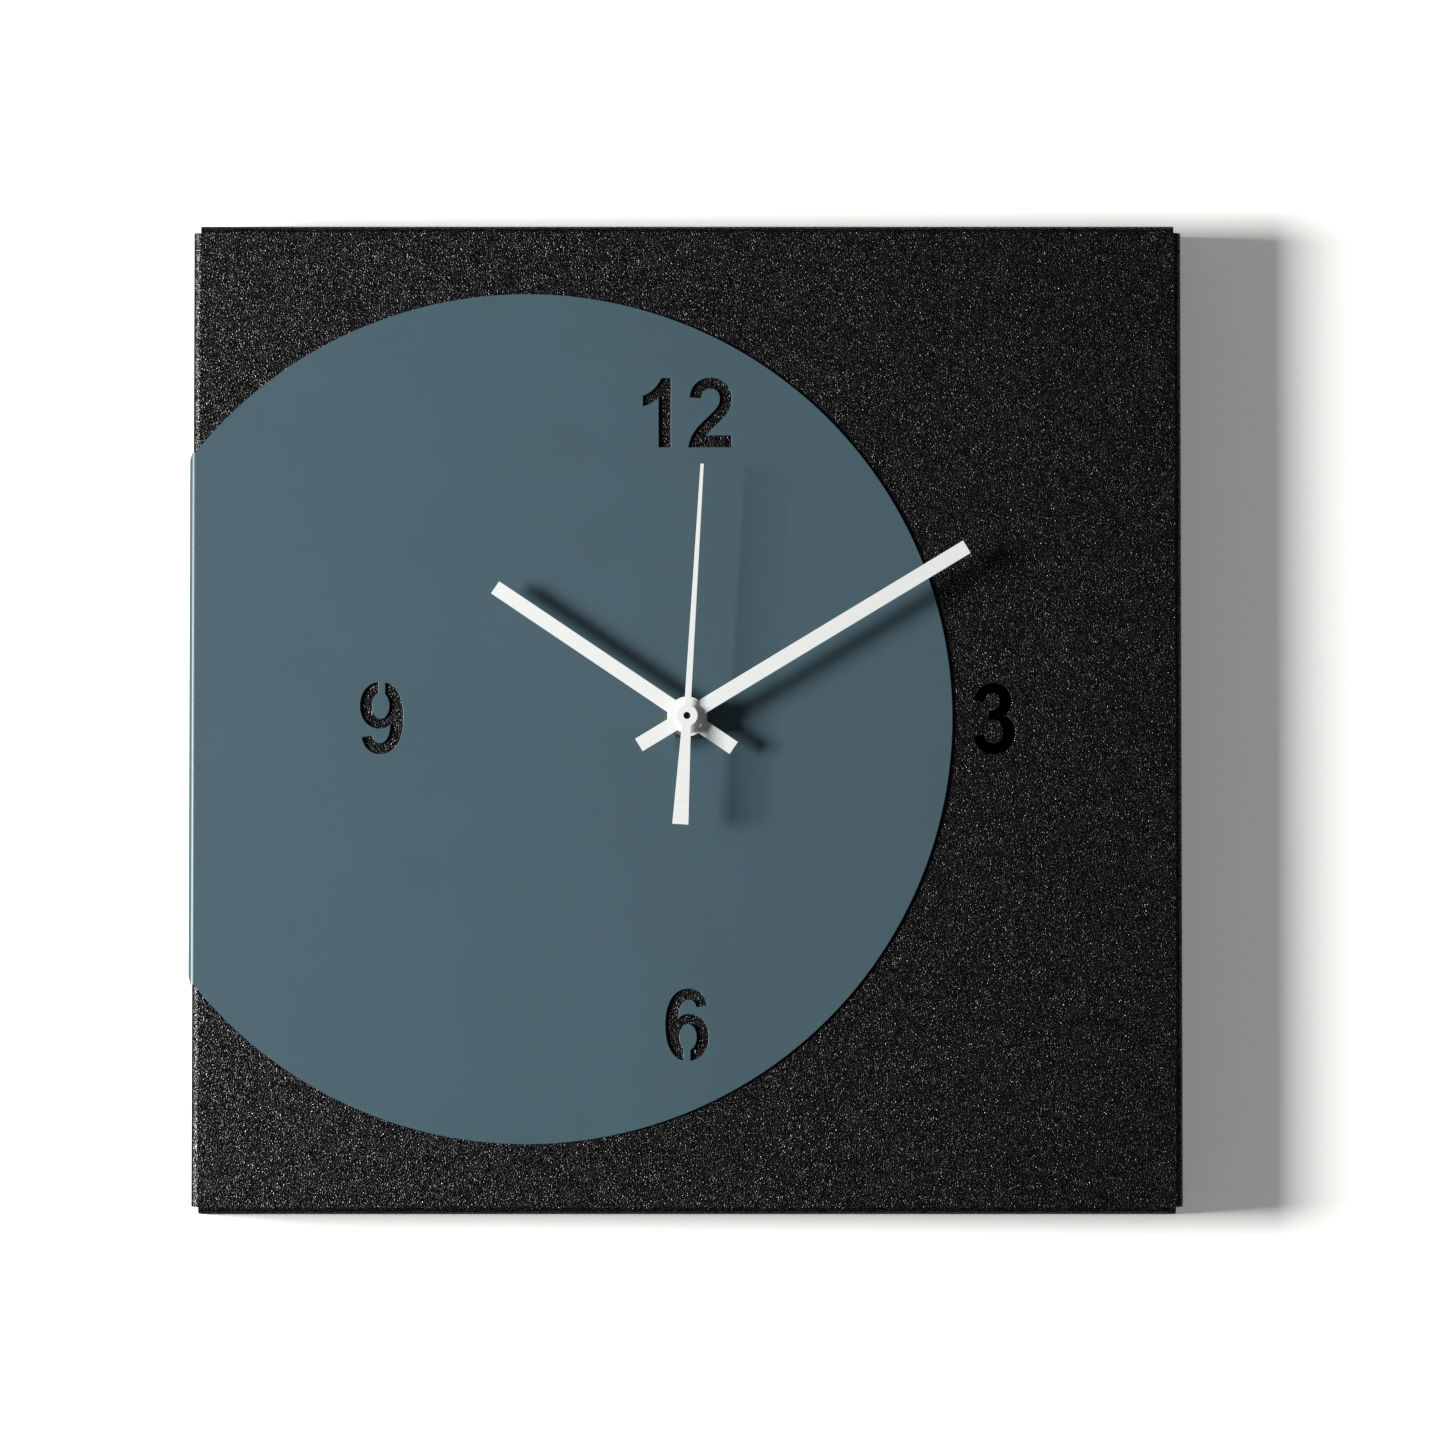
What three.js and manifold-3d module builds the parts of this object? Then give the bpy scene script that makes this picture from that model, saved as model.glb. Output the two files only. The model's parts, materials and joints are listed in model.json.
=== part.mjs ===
// A square wall clock: a folded black steel case, an off-centre round blue steel plate that wraps round
// the left side of the case, three white sheet-metal hands and a battery quartz movement behind the dial.
//
// Units are millimetres. +X is to the viewer's right, +Z is up (12 o'clock) and -Y faces the viewer, so
// the wall is the plane y = 0. A "depth" below is a distance in front of the wall, which is -y, and a
// "level" is a distance behind the front face of the movement. The origin is the point where the wall
// screw carries the clock; inside the clock group everything is placed about the dial's centre.

import * as THREE from "three";
import { mergeVertices } from "three/addons/utils/BufferGeometryUtils.js";
import Module from "manifold-3d";

const wasm = await Module();
wasm.setup();

// ---------------------------------------------------------------- driving dimensions

const CASE_SIZE = 350;
const CASE_DEPTH = 35;
const CASE_SHEET = 1.2;
const CASE_BEND = 2.5;
const HANG_HEIGHT = 166;

const PLATE_RADIUS = 150.6;
const PLATE_OFFSET = 56.7;
const PLATE_SHEET = 1.0;
const PLATE_BEND = 2.2;
const NUMERAL_RADIUS = 108.4;

const HOUR_ANGLE = 304;
const MINUTE_ANGLE = 58.8;
const SECOND_ANGLE = 3.45;
const HOUR_HEIGHT = 9.4;
const MINUTE_HEIGHT = 12.9;
const SECOND_HEIGHT = 15.8;

const MOVEMENT_SIZE = 56;
const MOVEMENT_WALL = 1.2;
const MOVEMENT_LENGTH = 15.3;
const WASHER_SHEET = 1.0;

// Clearances: between parts that only touch, and between a shaft and the hole it turns in.
const TOUCH = 0.1;
const RUNNING = 0.1;

const CASE_HALF = CASE_SIZE / 2;
const CASE_FLAT = CASE_HALF - CASE_BEND;
const PLATE_BACK = CASE_DEPTH + 2 * TOUCH;
const PLATE_FRONT = PLATE_BACK + PLATE_SHEET;
const MOVEMENT_FRONT = CASE_DEPTH - CASE_SHEET - WASHER_SHEET - 2 * TOUCH;
const MOVEMENT_HALF = MOVEMENT_SIZE / 2;
const MOVEMENT_INSIDE = MOVEMENT_HALF - MOVEMENT_WALL;

// ---------------------------------------------------------------- materials

function finish(color, roughness, metalness = 0) {
  return new THREE.MeshStandardMaterial({ color, roughness, metalness });
}

const MATERIALS = {
  blackPaint: finish(0x1d1c1c, 0.75),
  bluePaint: finish(0x4f656e, 0.45),
  whitePaint: finish(0xe9ece9, 0.5),
  zincSteel: finish(0xa9acab, 0.4, 0.9),
  brass: finish(0xb08d4a, 0.35, 0.9),
  rubber: finish(0x17181a, 0.85),
  blackPlastic: finish(0x1b1b1d, 0.5),
  naturalPlastic: finish(0xd9d5c6, 0.5),
  whitePlastic: finish(0xe8e6df, 0.45),
  magnet: finish(0x4a4a4c, 0.6, 0.3),
  copper: finish(0xb5633a, 0.4, 0.8),
  boardGreen: finish(0x2f5a3c, 0.6),
  sleeve: finish(0x5d6a70, 0.35),
};

// ---------------------------------------------------------------- solids

function toSolid(geometry) {
  const bare = geometry.index ? geometry.toNonIndexed() : geometry.clone();
  bare.deleteAttribute("normal");
  bare.deleteAttribute("uv");
  const merged = mergeVertices(bare, 1e-5);
  const index = merged.index.array;
  const corners = [];
  for (let i = 0; i < index.length; i += 3) {
    const [a, b, c] = [index[i], index[i + 1], index[i + 2]];
    if (a !== b && b !== c && c !== a) {
      corners.push(a, b, c);
    }
  }
  const vertProperties = new Float32Array(merged.attributes.position.array);
  const triVerts = new Uint32Array(corners);
  return new wasm.Manifold(new wasm.Mesh({ numProp: 3, vertProperties, triVerts }));
}

function toGeometry(solid) {
  const mesh = solid.getMesh();
  const geometry = new THREE.BufferGeometry();
  geometry.setAttribute("position", new THREE.BufferAttribute(new Float32Array(mesh.vertProperties), 3));
  geometry.setIndex(new THREE.BufferAttribute(new Uint32Array(mesh.triVerts), 1));
  return geometry;
}

// Joins every geometry in `joined`, then cuts away every geometry in `removed`.
function carve(joined, removed = []) {
  let solid = toSolid(joined[0]);
  for (const extra of joined.slice(1)) {
    solid = solid.add(toSolid(extra));
  }
  for (const cutter of removed) {
    solid = solid.subtract(toSolid(cutter));
  }
  return toGeometry(solid);
}

// A flat piece parallel to the dial: the shape's x and y become x and z.
function slab(shape, back, front, curveSegments = 8) {
  const depth = front - back;
  const geometry = new THREE.ExtrudeGeometry(shape, { depth, bevelEnabled: false, curveSegments });
  return geometry.rotateX(Math.PI / 2).translate(0, -back, 0);
}

// A turned piece about the dial's axis; the profile lists [radius, depth] anticlockwise.
function turned(profile, segments = 24) {
  const points = profile.map(([radius, depth]) => new THREE.Vector2(radius, depth));
  return new THREE.LatheGeometry(points, segments).rotateX(Math.PI);
}

function rod(radius, back, front, segments = 24) {
  return turned([[0, back], [radius, back], [radius, front], [0, front]], segments);
}

function tube(inner, outer, back, front, segments = 24) {
  return turned([[inner, back], [outer, back], [outer, front], [inner, front], [inner, back]], segments);
}

// A box from its limits: x, z and depth.
function block(left, right, bottom, top, back, front) {
  const box = new THREE.BoxGeometry(right - left, front - back, top - bottom);
  return box.translate((left + right) / 2, -(back + front) / 2, (bottom + top) / 2);
}

// A straight bar along x: the shape's x is a depth and its y is z.
function prismAlongX(shape, left, right) {
  const geometry = new THREE.ExtrudeGeometry(shape, { depth: right - left, bevelEnabled: false });
  const towardsViewer = new THREE.Vector3(0, -1, 0);
  const up = new THREE.Vector3(0, 0, 1);
  const toTheLeft = new THREE.Vector3(-1, 0, 0);
  geometry.applyMatrix4(new THREE.Matrix4().makeBasis(towardsViewer, up, toTheLeft));
  return geometry.translate(right, 0, 0);
}

function moved(geometry, x, z) {
  return geometry.translate(x, 0, z);
}

function roundedRectangle(halfWidth, halfHeight, radius) {
  const shape = new THREE.Shape();
  const [x, y] = [halfWidth - radius, halfHeight - radius];
  shape.moveTo(-x, -halfHeight);
  shape.lineTo(x, -halfHeight);
  shape.absarc(x, -y, radius, -Math.PI / 2, 0);
  shape.absarc(x, y, radius, 0, Math.PI / 2);
  shape.absarc(-x, y, radius, Math.PI / 2, Math.PI);
  shape.absarc(-x, -y, radius, Math.PI, 1.5 * Math.PI);
  return shape;
}

function polygon(points) {
  return new THREE.Shape(points.map(([x, y]) => new THREE.Vector2(x, y)));
}

// ---------------------------------------------------------------- the object

const clock = new THREE.Group();
clock.position.set(0, 0, -HANG_HEIGHT);

function add(name, geometry, material, [x, z] = [0, 0], turn = 0) {
  const mesh = new THREE.Mesh(geometry, MATERIALS[material]);
  mesh.name = name;
  mesh.position.set(x, 0, z);
  mesh.rotation.y = THREE.MathUtils.degToRad(turn);
  clock.add(mesh);
}

// ---------------------------------------------------------------- numerals

const DIGIT_HEIGHT = 24.6;
const DIGIT_WIDTH = 15.2;
const ONE_WIDTH = 9.8;
const DIGIT_GAP = 6.3;
const BRIDGE_WIDTH = 2.5;
const SIDE_SHIFT = 0.4;

function drawOne() {
  const shape = new THREE.Shape();
  shape.moveTo(5.6, 0);
  shape.lineTo(ONE_WIDTH, 0);
  shape.lineTo(ONE_WIDTH, DIGIT_HEIGHT);
  shape.lineTo(6.6, DIGIT_HEIGHT);
  shape.bezierCurveTo(5.0, 21.3, 2.8, 19.2, 0, 18.3);
  shape.lineTo(0, 14.6);
  shape.bezierCurveTo(2.1, 15.1, 4.1, 16.2, 5.6, 17.7);
  return shape;
}

function drawTwo() {
  const shape = new THREE.Shape();
  shape.moveTo(0, 0);
  shape.lineTo(DIGIT_WIDTH, 0);
  shape.lineTo(DIGIT_WIDTH, 4.2);
  shape.lineTo(6.4, 4.2);
  shape.bezierCurveTo(7.4, 6.0, 9.4, 7.5, 11.6, 9.7);
  shape.bezierCurveTo(14.4, 12.4, 15.3, 14.9, 15.3, 17.3);
  shape.bezierCurveTo(15.3, 21.7, 12.4, 24.7, 8.2, 24.7);
  shape.bezierCurveTo(3.9, 24.7, 0.9, 22.1, 0.5, 17.8);
  shape.lineTo(4.5, 17.4);
  shape.bezierCurveTo(4.7, 19.7, 5.9, 20.9, 7.9, 20.9);
  shape.bezierCurveTo(9.9, 20.9, 11.2, 19.6, 11.2, 17.3);
  shape.bezierCurveTo(11.2, 14.9, 9.7, 13.4, 7.1, 10.9);
  shape.bezierCurveTo(3.3, 7.3, 0.8, 4.9, 0, 0);
  return shape;
}

function drawThree() {
  const shape = new THREE.Shape();
  shape.moveTo(0, 6.2);
  shape.bezierCurveTo(0.6, 2.2, 3.3, -0.4, 7.4, -0.4);
  shape.bezierCurveTo(11.8, -0.4, 14.9, 2.8, 14.9, 7.1);
  shape.bezierCurveTo(14.9, 10.4, 13.4, 12.6, 10.9, 13.3);
  shape.bezierCurveTo(12.6, 14.3, 13.6, 16.0, 13.6, 18.4);
  shape.bezierCurveTo(13.6, 22.2, 11.1, 25.0, 7.0, 25.0);
  shape.bezierCurveTo(3.4, 25.0, 0.9, 22.7, 0.4, 18.7);
  shape.lineTo(4.0, 18.1);
  shape.bezierCurveTo(4.3, 20.2, 5.3, 21.2, 6.8, 21.2);
  shape.bezierCurveTo(8.4, 21.2, 9.4, 20.1, 9.4, 18.3);
  shape.bezierCurveTo(9.4, 16.1, 8.0, 15.1, 5.6, 15.2);
  shape.lineTo(5.2, 11.7);
  shape.bezierCurveTo(8.7, 12.3, 10.5, 10.7, 10.5, 7.5);
  shape.bezierCurveTo(10.5, 5.1, 9.3, 3.6, 7.4, 3.6);
  shape.bezierCurveTo(5.4, 3.6, 4.2, 4.8, 3.9, 6.8);
  return shape;
}

// The figure 9 is a closed bowl over a hooked tail. The bridge is left standing by two half shapes.
function drawNine() {
  const outer = new THREE.Shape();
  outer.moveTo(0.6, 5.5);
  outer.bezierCurveTo(1.3, 1.9, 3.7, -0.4, 7.0, -0.4);
  outer.bezierCurveTo(12.1, -0.4, 15.2, 4.4, 15.2, 12.4);
  outer.bezierCurveTo(15.2, 20.6, 12.1, 25.1, 7.4, 25.1);
  outer.bezierCurveTo(3.0, 25.1, 0, 21.7, 0, 16.6);
  outer.bezierCurveTo(0, 11.9, 2.9, 8.6, 6.9, 8.6);
  outer.bezierCurveTo(8.3, 8.6, 9.6, 9.1, 10.7, 10.2);
  outer.bezierCurveTo(10.6, 5.7, 9.2, 3.4, 7.0, 3.4);
  outer.bezierCurveTo(5.5, 3.4, 4.6, 4.3, 4.2, 6.1);
  const counter = new THREE.Path();
  counter.absellipse(7.25, 16.7, 3.15, 4.7, 0, 2 * Math.PI);
  outer.holes.push(counter);
  return outer;
}

// A cutter for one digit whose box is centred on (x, z), from `back` to `front`.
function digitCutter(shape, width, x, z, back, front) {
  return moved(slab(shape, back, front, 12), x - width / 2, z - DIGIT_HEIGHT / 2);
}

function stencilNine(back, front) {
  const digit = digitCutter(drawNine(), DIGIT_WIDTH, 0, 0, back, front);
  const bridge = block(-BRIDGE_WIDTH / 2, BRIDGE_WIDTH / 2, 0, DIGIT_HEIGHT, back - 1, front + 1);
  return carve([digit], [bridge]);
}

function numeralCutters(back, front) {
  const pairWidth = ONE_WIDTH + DIGIT_GAP + DIGIT_WIDTH;
  const oneCentre = (ONE_WIDTH - pairWidth) / 2;
  const twoCentre = (pairWidth - DIGIT_WIDTH) / 2;
  return {
    one: digitCutter(drawOne(), ONE_WIDTH, oneCentre, NUMERAL_RADIUS, back, front),
    two: digitCutter(drawTwo(), DIGIT_WIDTH, twoCentre, NUMERAL_RADIUS, back, front),
    three: digitCutter(drawThree(), DIGIT_WIDTH, NUMERAL_RADIUS + SIDE_SHIFT, 0, back, front),
    six: moved(stencilNine(back, front).rotateY(Math.PI), 0, -NUMERAL_RADIUS),
    nine: moved(stencilNine(back, front), -NUMERAL_RADIUS + SIDE_SHIFT, 0),
  };
}

// ---------------------------------------------------------------- case and dial plate

const BUSHING_RADIUS = 4;
const CORNER_GAP = 2.5;
const BEND_STEPS = 12;

// The section of a folded edge, drawn with x outwards and y towards the viewer. The fold starts
// `reach` from the middle and has the outer radius `bend`; the folded side ends at depth `end`.
function foldSection(reach, bend, sheet, front, end) {
  const shape = new THREE.Shape();
  const centre = front - bend;
  shape.moveTo(reach - 1, front);
  shape.lineTo(reach, front);
  shape.absarc(reach, centre, bend, Math.PI / 2, 0, true);
  shape.lineTo(reach + bend, end);
  shape.lineTo(reach + bend - sheet, end);
  shape.lineTo(reach + bend - sheet, centre);
  shape.absarc(reach, centre, bend - sheet, 0, Math.PI / 2, false);
  shape.lineTo(reach - 1, front - sheet);
  return shape;
}

function foldedEdge(section, length) {
  const options = { depth: length, bevelEnabled: false, curveSegments: BEND_STEPS };
  const geometry = new THREE.ExtrudeGeometry(section, options);
  return geometry.translate(0, 0, -length / 2).rotateX(Math.PI);
}

function caseShell() {
  const section = foldSection(CASE_FLAT, CASE_BEND, CASE_SHEET, CASE_DEPTH, 0);
  const sideLength = CASE_SIZE - 2 * CORNER_GAP;
  const joined = [block(-CASE_FLAT, CASE_FLAT, -CASE_FLAT, CASE_FLAT, CASE_DEPTH - CASE_SHEET, CASE_DEPTH)];
  for (let side = 0; side < 4; side += 1) {
    joined.push(foldedEdge(section, sideLength).rotateY(side * Math.PI / 2));
  }
  const bushingHole = rod(BUSHING_RADIUS + RUNNING, 0, CASE_DEPTH + 1);
  const three = numeralCutters(CASE_DEPTH - CASE_SHEET - 1, CASE_DEPTH + 1).three;
  return carve(joined, [bushingHole, three]);
}

// Half the width of the round plate at a distance along the flat sheet from its fold line.
function plateHalfWidth(foldLine, along) {
  const fromCentre = foldLine - PLATE_OFFSET + along;
  return Math.sqrt(Math.max(PLATE_RADIUS ** 2 - fromCentre ** 2, 0));
}

// The plate is a full circle as cut. The part of it that passes the case's left edge is folded back,
// so the folded side keeps the rest of the circle's outline, seen here from the left.
function foldedPlateOutline(foldLine) {
  const middle = PLATE_BEND - PLATE_SHEET / 2;
  const bendStart = PLATE_FRONT - PLATE_BEND;
  const bendLength = middle * Math.PI / 2;
  const flatLength = PLATE_RADIUS + PLATE_OFFSET - foldLine;
  const steps = 24;
  const upper = [[plateHalfWidth(foldLine, 0), PLATE_FRONT + 1]];
  for (let i = 0; i <= BEND_STEPS; i += 1) {
    const angle = i / BEND_STEPS * Math.PI / 2;
    upper.push([plateHalfWidth(foldLine, middle * angle), bendStart + middle * Math.cos(angle)]);
  }
  for (let i = 1; i <= steps; i += 1) {
    const along = bendLength + (flatLength - bendLength) * Math.sin(i / steps * Math.PI / 2);
    upper.push([plateHalfWidth(foldLine, along), bendStart - (along - bendLength)]);
  }
  const lower = upper.slice(0, -1).map(([z, depth]) => [-z, depth]).reverse();
  return polygon([...upper, ...lower].map(([z, depth]) => [depth, z]));
}

function dialPlate() {
  const foldLine = CASE_HALF + 2 * TOUCH + PLATE_SHEET - PLATE_BEND;
  const disc = moved(rod(PLATE_RADIUS, PLATE_BACK, PLATE_FRONT, 192), -PLATE_OFFSET, 0);
  const beyond = block(-CASE_SIZE, -foldLine, -CASE_SIZE, CASE_SIZE, PLATE_BACK - 1, PLATE_FRONT + 1);
  const section = foldSection(foldLine, PLATE_BEND, PLATE_SHEET, PLATE_FRONT, 0);
  const strip = foldedEdge(section, 2 * PLATE_RADIUS).rotateY(Math.PI);
  const outline = prismAlongX(foldedPlateOutline(foldLine), -foldLine - 2 * PLATE_BEND, -foldLine + 1);
  const folded = toGeometry(toSolid(strip).intersect(toSolid(outline)));
  const { one, two, six, nine } = numeralCutters(PLATE_BACK - 1, PLATE_FRONT + 1);
  const bushingHole = rod(BUSHING_RADIUS + RUNNING, PLATE_BACK - 1, PLATE_FRONT + 1);
  return carve([carve([disc], [beyond]), folded], [one, two, six, nine, bushingHole]);
}

// A welded strap across the top of the open back, lying against the wall, with a keyhole in it.
function hangingStrap() {
  const [halfWidth, sheet, foot, bottom] = [30, 1.2, 14, 146];
  const top = CASE_HALF - CASE_SHEET - TOUCH;
  const slotRadius = 2.4;
  const slotCentre = HANG_HEIGHT - slotRadius;
  const mouthCentre = slotCentre - 9;
  const strap = block(-halfWidth, halfWidth, bottom, top, 0, sheet);
  const flange = block(-halfWidth, halfWidth, top - sheet, top, 0, foot);
  const slotEnd = moved(rod(slotRadius, -1, sheet + 1), 0, slotCentre);
  const slot = block(-slotRadius, slotRadius, mouthCentre, slotCentre, -1, sheet + 1);
  const mouth = moved(rod(4.75, -1, sheet + 1), 0, mouthCentre);
  return carve([strap, flange], [slotEnd, slot, mouth]);
}

add("case_shell", caseShell(), "blackPaint");
add("hanging_strap", hangingStrap(), "zincSteel");
add("dial_plate", dialPlate(), "bluePaint");

// ---------------------------------------------------------------- centre fixing

const BUSHING_FRONT = PLATE_FRONT + 5.2;
const BUSHING_BORE = 2.75;
const FLANGE_RADIUS = 5.5;
const NUT_FLATS = 14;
const NUT_HEIGHT = 2.2;

function bushing() {
  const inner = MOVEMENT_FRONT - MOVEMENT_WALL - TOUCH;
  const neck = MOVEMENT_FRONT - MOVEMENT_WALL + TOUCH;
  const chamfer = 0.5;
  return turned([
    [BUSHING_BORE, inner - 0.6],
    [FLANGE_RADIUS, inner - 0.6],
    [FLANGE_RADIUS, inner],
    [BUSHING_RADIUS, inner],
    [BUSHING_RADIUS, neck],
    [BUSHING_RADIUS, BUSHING_FRONT - chamfer],
    [BUSHING_RADIUS - chamfer, BUSHING_FRONT],
    [BUSHING_BORE, BUSHING_FRONT],
    [BUSHING_BORE, inner - 0.6],
  ]);
}

function hexNut() {
  const corner = NUT_FLATS / Math.sqrt(3);
  const shape = new THREE.Shape();
  for (let i = 0; i < 6; i += 1) {
    const angle = i * Math.PI / 3 + Math.PI;
    const [x, y] = [corner * Math.cos(angle), corner * Math.sin(angle)];
    if (i === 0) {
      shape.moveTo(x, y);
    } else {
      shape.lineTo(x, y);
    }
  }
  const hole = new THREE.Path();
  hole.absarc(0, 0, BUSHING_RADIUS + RUNNING, 0, 2 * Math.PI);
  shape.holes.push(hole);
  return slab(shape, PLATE_FRONT + TOUCH, PLATE_FRONT + TOUCH + NUT_HEIGHT, 12);
}

function rubberWasher() {
  const back = MOVEMENT_FRONT + TOUCH;
  return tube(BUSHING_RADIUS + RUNNING, 11, back, back + WASHER_SHEET, 32);
}

add("rubber_washer", rubberWasher(), "rubber");
add("threaded_bushing", bushing(), "brass");
add("hex_nut", hexNut(), "brass");

// ---------------------------------------------------------------- hands

const HOUR_TUBE = 2.55;
const MINUTE_TUBE = 1.65;
const SECOND_ARBOR = 0.5;
const HAND_SHEET = 0.5;

// A hand pointing at 12: a flat blade through a round boss. Widths are given at the four stations
// along it, from the tip to the end of the tail.
function handShape({ length, tail, tip, root, tailRoot, tailEnd, boss }) {
  const meet = (width) => Math.asin(width / 2 / boss);
  const shape = new THREE.Shape();
  shape.moveTo(-tip / 2, length);
  shape.lineTo(-root / 2, boss * Math.cos(meet(root)));
  shape.absarc(0, 0, boss, Math.PI / 2 + meet(root), 1.5 * Math.PI - meet(tailRoot));
  shape.lineTo(-tailEnd / 2, -tail);
  shape.lineTo(tailEnd / 2, -tail);
  shape.lineTo(tailRoot / 2, -boss * Math.cos(meet(tailRoot)));
  shape.absarc(0, 0, boss, -Math.PI / 2 + meet(tailRoot), Math.PI / 2 - meet(root));
  shape.lineTo(tip / 2, length);
  return shape;
}

// The blade, with a short collar behind it that grips the shaft of radius `shaft`.
function hand(shape, height, shaft, collarLength, collarWall) {
  const back = PLATE_FRONT + height - HAND_SHEET / 2;
  const front = back + HAND_SHEET;
  const bore = shaft + RUNNING / 2;
  const blade = slab(shape, back, front, 16);
  const collar = rod(bore + collarWall, back - collarLength, back + HAND_SHEET / 2);
  return carve([blade, collar], [rod(bore, back - collarLength - 1, front + 1)]);
}

const hourShape = handShape({
  length: 81.7, tail: 19.9, tip: 5.15, root: 5.15, tailRoot: 5.15, tailEnd: 5.15, boss: 7.05,
});
const minuteShape = handShape({
  length: 115.4, tail: 19.8, tip: 5.15, root: 5.15, tailRoot: 5.15, tailEnd: 5.15, boss: 6.1,
});
const secondShape = handShape({
  length: 89.1, tail: 38.4, tip: 1.15, root: 2.3, tailRoot: 3.2, tailEnd: 5.7, boss: 3.75,
});

// The second hand's collar holds a brass pipe, sunk well below the boss, that grips the thin arbor.
const PIPE_RADIUS = 1.2;
const PIPE_COLLAR = 2.0;
const PIPE_FRONT = PLATE_FRONT + SECOND_HEIGHT - HAND_SHEET / 2 - 0.9;

function secondPipe() {
  const back = PLATE_FRONT + SECOND_HEIGHT - HAND_SHEET / 2 - PIPE_COLLAR;
  return tube(SECOND_ARBOR + RUNNING / 2, PIPE_RADIUS, back, PIPE_FRONT, 16);
}

const hourHand = hand(hourShape, HOUR_HEIGHT, HOUR_TUBE, 1.9, 0.9);
const minuteHand = hand(minuteShape, MINUTE_HEIGHT, MINUTE_TUBE, 1.7, 0.8);
const secondHand = hand(secondShape, SECOND_HEIGHT, PIPE_RADIUS, PIPE_COLLAR, 0.6);
add("hour_hand", hourHand, "whitePaint", [0, 0], HOUR_ANGLE);
add("minute_hand", minuteHand, "whitePaint", [0, 0], MINUTE_ANGLE);
add("second_hand", secondHand, "whitePaint", [0, 0], SECOND_ANGLE);
add("second_hand_pipe", secondPipe(), "brass", [0, 0], SECOND_ANGLE);

// ---------------------------------------------------------------- movement: levels and axes

// A level is a distance behind the movement's front face.
const atLevel = (level) => MOVEMENT_FRONT - level;

const LEVELS = {
  hourWheel: [2.4, 3.4],
  motionWheel: [4.2, 5.0],
  centreWheel: [5.6, 6.4],
  midPlate: [7.0, 7.8],
  thirdWheel: [8.4, 9.4],
  secondWheel: [10.0, 11.0],
  intermediateWheel: [11.8, 12.8],
  bridge: [13.6, 14.6],
};

const SPACING = 9;

function along([x, z], distance, degrees) {
  const angle = THREE.MathUtils.degToRad(degrees);
  return [x + distance * Math.cos(angle), z + distance * Math.sin(angle)];
}

// Tooth counts: the rotor turns 30 times a minute, the centre wheel once an hour.
const TEETH = {
  rotorPinion: 6, intermediateWheel: 36, intermediatePinion: 8, secondWheel: 40,
  secondPinion: 6, thirdWheel: 45, thirdPinion: 6, centreWheel: 48,
  cannonPinion: 10, motionWheel: 30, motionPinion: 8, hourWheel: 32, settingPinion: 12,
};

function moduleFor(first, second, distance) {
  return 2 * distance / (TEETH[first] + TEETH[second]);
}

const MODULES = {
  rotor: 0.3,
  intermediate: moduleFor("intermediatePinion", "secondWheel", SPACING),
  third: moduleFor("secondPinion", "thirdWheel", SPACING),
  centre: moduleFor("thirdPinion", "centreWheel", SPACING),
  motion: moduleFor("cannonPinion", "motionWheel", SPACING),
};

const ROTOR_SPACING = MODULES.rotor * (TEETH.rotorPinion + TEETH.intermediateWheel) / 2;
const SETTING_SPACING = MODULES.motion * (TEETH.settingPinion + TEETH.motionWheel) / 2;
const DIRECTIONS = { third: 180, intermediate: 45, rotor: 20, motion: 0, setting: -35 };

const centre = [0, 0];
const third = along(centre, SPACING, DIRECTIONS.third);
const intermediate = along(centre, SPACING, DIRECTIONS.intermediate);
const rotor = along(intermediate, ROTOR_SPACING, DIRECTIONS.rotor);
const motion = along(centre, SPACING, DIRECTIONS.motion);
const setting = along(motion, SETTING_SPACING, DIRECTIONS.setting);

// ---------------------------------------------------------------- movement: housing

const BAY_TOP = -12.2;
const ROOM_BOTTOM = BAY_TOP + 1;
const PLATE_LIMITS = { left: -25.4, right: 25.4, bottom: -9.6, top: 13.4 };
const POST_RADIUS = 1.5;
const POSTS = [[-23.4, -7.6], [23.4, -7.6], [-23.4, 11.4], [23.4, 2.6]];
const PIVOT = 0.35;
const SETTING_SHAFT = 0.8;

// A boss or post standing between two levels, with its own hole if `bore` is given.
function boss([x, z], outer, bore, front, back) {
  const geometry = bore
    ? tube(bore, outer, atLevel(back), atLevel(front), 12)
    : rod(outer, atLevel(back), atLevel(front), 12);
  return moved(geometry, x, z);
}

function holeAt([x, z], radius) {
  return moved(rod(radius, 0, CASE_DEPTH, 12), x, z);
}

function frontHousing() {
  const outline = roundedRectangle(MOVEMENT_HALF, MOVEMENT_HALF, 2.5);
  const outside = slab(outline, atLevel(MOVEMENT_LENGTH), atLevel(0), 4);
  const inside = roundedRectangle(MOVEMENT_INSIDE, MOVEMENT_INSIDE, 1.3);
  const room = slab(inside, atLevel(MOVEMENT_LENGTH + 1), atLevel(MOVEMENT_WALL), 4);
  const shell = carve([outside], [room, rod(BUSHING_RADIUS + RUNNING, 0, CASE_DEPTH)]);
  const contactSlot = MOVEMENT_INSIDE - 0.9;
  const partition = block(
    -contactSlot, contactSlot, BAY_TOP, ROOM_BOTTOM, atLevel(MOVEMENT_LENGTH), atLevel(MOVEMENT_WALL - 0.2),
  );
  const wall = MOVEMENT_WALL - 0.2;
  const posts = POSTS.map((place) => boss(place, POST_RADIUS, 0, wall, LEVELS.midPlate[0] - TOUCH));
  const boardPosts = BOARD_POSTS.map((place) => boss(place, POST_RADIUS, 0, wall, BOARD_LEVEL - TOUCH));
  const pivots = [
    boss(motion, 1.1, PIVOT + RUNNING, wall, 2.2),
    boss(setting, 1.7, SETTING_SHAFT + RUNNING, wall, 3.6),
  ];
  return carve([shell, partition, ...posts, ...boardPosts, ...pivots]);
}

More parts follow.
